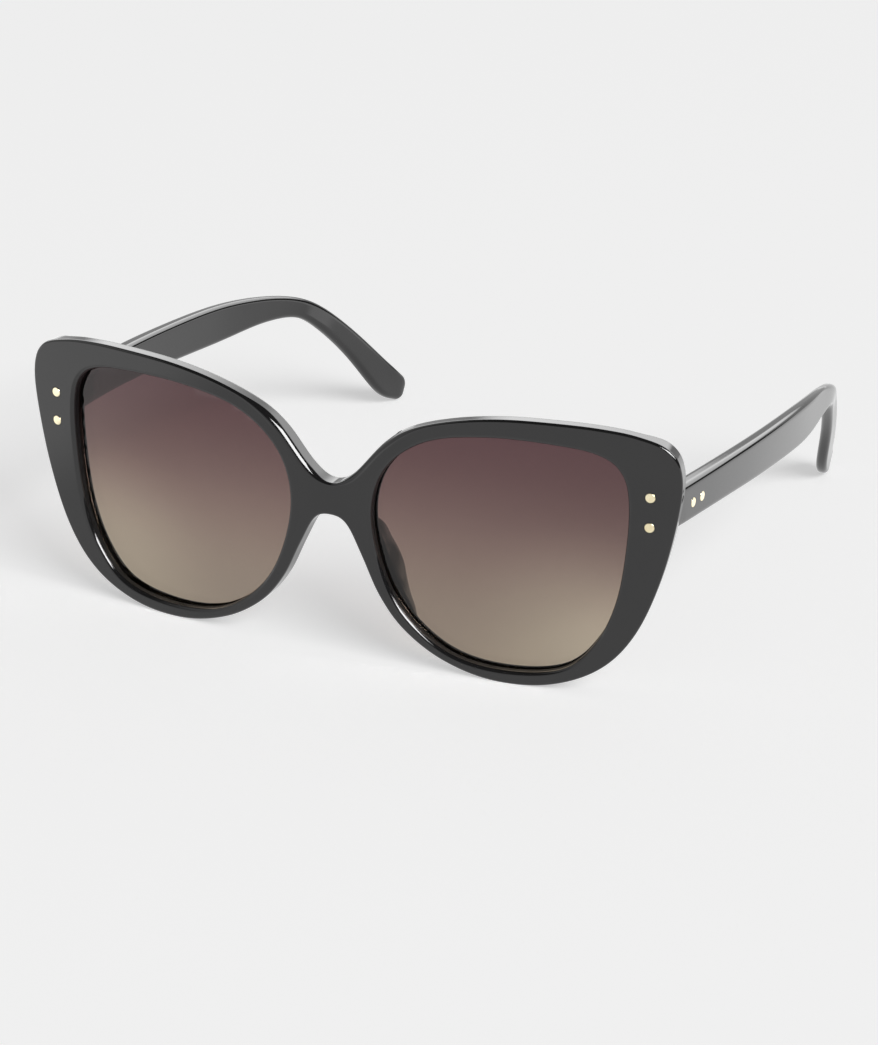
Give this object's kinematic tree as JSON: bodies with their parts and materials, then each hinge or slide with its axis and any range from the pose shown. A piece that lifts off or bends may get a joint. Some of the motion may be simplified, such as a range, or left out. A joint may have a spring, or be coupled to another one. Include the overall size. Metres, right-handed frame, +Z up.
{
  "type": "cat eye sunglasses",
  "caption": "Cat eye sunglasses: thick black front with an upswept brow, gradient brown lenses, nose pads and folding temples on riveted barrel hinges.",
  "frame": {"origin": "on the table plane, at the centre of the footprint of the open sunglasses resting on their lower rims and temple tips", "axes": "+Z up from the table, -Y out of the lens faces towards what the wearer sees, temples run back along +Y, +X towards the wearer's left"},
  "size_m": [0.144, 0.1479, 0.0565],
  "materials": {
    "black_frame": "polished black moulded plastic with softly rounded edges",
    "black_pad": "satin black moulded plastic",
    "tinted_lens": "polished plastic lens, plum brown at the top fading to olive beige at the bottom",
    "hinge_steel": "darkened steel, brushed",
    "screw_steel": "turned steel with a slotted head",
    "rivet_gold": "polished pale gold"
  },
  "bodies": {
    "front": {"front_frame": "black_frame", "lens_left": "tinted_lens", "lens_right": "tinted_lens", "nose_pad_left": "black_pad", "nose_pad_right": "black_pad", "hinge_front_left": "hinge_steel", "hinge_front_right": "hinge_steel", "hinge_screw_left": "screw_steel", "hinge_screw_right": "screw_steel", "front_rivet_upper_left": "rivet_gold", "front_rivet_lower_left": "rivet_gold", "front_rivet_upper_right": "rivet_gold", "front_rivet_lower_right": "rivet_gold"},
    "temple_left": {"temple_left": "black_frame", "hinge_temple_left": "hinge_steel", "temple_rivet_fore_left": "rivet_gold", "temple_rivet_aft_left": "rivet_gold"},
    "temple_right": {"temple_right": "black_frame", "hinge_temple_right": "hinge_steel", "temple_rivet_fore_right": "rivet_gold", "temple_rivet_aft_right": "rivet_gold"}
  },
  "joints": [
    {"name": "temple_left_fold", "type": "hinge", "parent": "front", "child": "temple_left", "pos_m": [0.06486, -0.06234, 0.04033], "axis": [0, -0.0244, 0.9997], "range_deg": [0, 86]},
    {"name": "temple_right_fold", "type": "hinge", "parent": "front", "child": "temple_right", "pos_m": [-0.06486, -0.06234, 0.04033], "axis": [0, 0.0244, -0.9997], "range_deg": [0, 74]}
  ]
}
